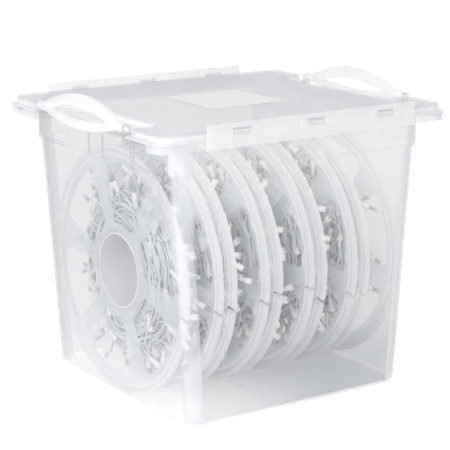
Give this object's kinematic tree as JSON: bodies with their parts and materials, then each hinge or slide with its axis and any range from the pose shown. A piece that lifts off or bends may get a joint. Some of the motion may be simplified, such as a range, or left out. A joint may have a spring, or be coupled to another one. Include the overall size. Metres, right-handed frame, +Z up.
{
  "type": "light string storage box",
  "caption": "Tapered translucent storage tote with a lift-off latched lid, ring handles and a row of flanged reels wound with white mini light strings.",
  "frame": {"origin": "centre of the tote's flat underside, on the surface it stands on", "axes": "+Z up, +X along the common axis of the reels (from one ring handle to the other), the front latch faces -Y"},
  "size_m": [0.4152, 0.3702, 0.3722],
  "materials": {
    "tote_plastic": "satin translucent",
    "lid_plastic": "satin translucent",
    "white_plastic": "satin",
    "reel_plastic": "satin translucent",
    "wire_cover": "satin",
    "holder_plastic": "gloss",
    "bulb_glass": "clear"
  },
  "bodies": {
    "tote": {"tote": "tote_plastic"},
    "lid": {"lid": "lid_plastic"},
    "front_latch": {"front_latch": "white_plastic"},
    "rear_latch": {"rear_latch": "white_plastic"},
    "left_handle": {"left_handle": "white_plastic"},
    "right_handle": {"right_handle": "white_plastic"},
    "reel_1": {"reel_1_near_half": "reel_plastic", "reel_1_far_half": "reel_plastic", "reel_1_wire_core": "wire_cover", "reel_1_wire_winding": "wire_cover", "reel_1_lamp_holders": "holder_plastic", "reel_1_bulbs": "bulb_glass"},
    "reel_2": {"reel_2_near_half": "reel_plastic", "reel_2_far_half": "reel_plastic", "reel_2_wire_core": "wire_cover", "reel_2_wire_winding": "wire_cover", "reel_2_lamp_holders": "holder_plastic", "reel_2_bulbs": "bulb_glass"},
    "reel_3": {"reel_3_near_half": "reel_plastic", "reel_3_far_half": "reel_plastic", "reel_3_wire_core": "wire_cover", "reel_3_wire_winding": "wire_cover", "reel_3_lamp_holders": "holder_plastic", "reel_3_bulbs": "bulb_glass"},
    "reel_4": {"reel_4_near_half": "reel_plastic", "reel_4_far_half": "reel_plastic", "reel_4_wire_core": "wire_cover", "reel_4_wire_winding": "wire_cover", "reel_4_lamp_holders": "holder_plastic", "reel_4_bulbs": "bulb_glass"},
    "reel_5": {"reel_5_near_half": "reel_plastic", "reel_5_far_half": "reel_plastic", "reel_5_wire_core": "wire_cover", "reel_5_wire_winding": "wire_cover", "reel_5_lamp_holders": "holder_plastic", "reel_5_bulbs": "bulb_glass"}
  },
  "joints": [
    {"name": "lid_lift", "type": "slide", "parent": "tote", "child": "lid", "axis": [0, 0, 1], "range_m": [0, 0.15]},
    {"name": "front_latch_rock", "type": "hinge", "parent": "lid", "child": "front_latch", "pos_m": [0, -0.1815, 0.3475], "axis": [-1, 0, 0], "range_deg": [-4, 60]},
    {"name": "rear_latch_rock", "type": "hinge", "parent": "lid", "child": "rear_latch", "pos_m": [0, 0.1815, 0.3475], "axis": [1, 0, 0], "range_deg": [-4, 60]},
    {"name": "left_handle_swing", "type": "hinge", "parent": "tote", "child": "left_handle", "pos_m": [-0.2015, 0, 0.347], "axis": [0, -1, 0], "range_deg": [0, 90]},
    {"name": "right_handle_swing", "type": "hinge", "parent": "tote", "child": "right_handle", "pos_m": [0.2015, 0, 0.347], "axis": [0, 1, 0], "range_deg": [0, 90]},
    {"name": "reel_1_spin", "type": "hinge", "parent": "tote", "child": "reel_1", "pos_m": [-0.13, 0, 0.1553], "axis": [1, 0, 0], "continuous": true},
    {"name": "reel_2_spin", "type": "hinge", "parent": "tote", "child": "reel_2", "pos_m": [-0.065, 0, 0.1553], "axis": [1, 0, 0], "continuous": true},
    {"name": "reel_3_spin", "type": "hinge", "parent": "tote", "child": "reel_3", "pos_m": [0, 0, 0.1553], "axis": [1, 0, 0], "continuous": true},
    {"name": "reel_4_spin", "type": "hinge", "parent": "tote", "child": "reel_4", "pos_m": [0.065, 0, 0.1553], "axis": [1, 0, 0], "continuous": true},
    {"name": "reel_5_spin", "type": "hinge", "parent": "tote", "child": "reel_5", "pos_m": [0.13, 0, 0.1553], "axis": [1, 0, 0], "continuous": true}
  ]
}
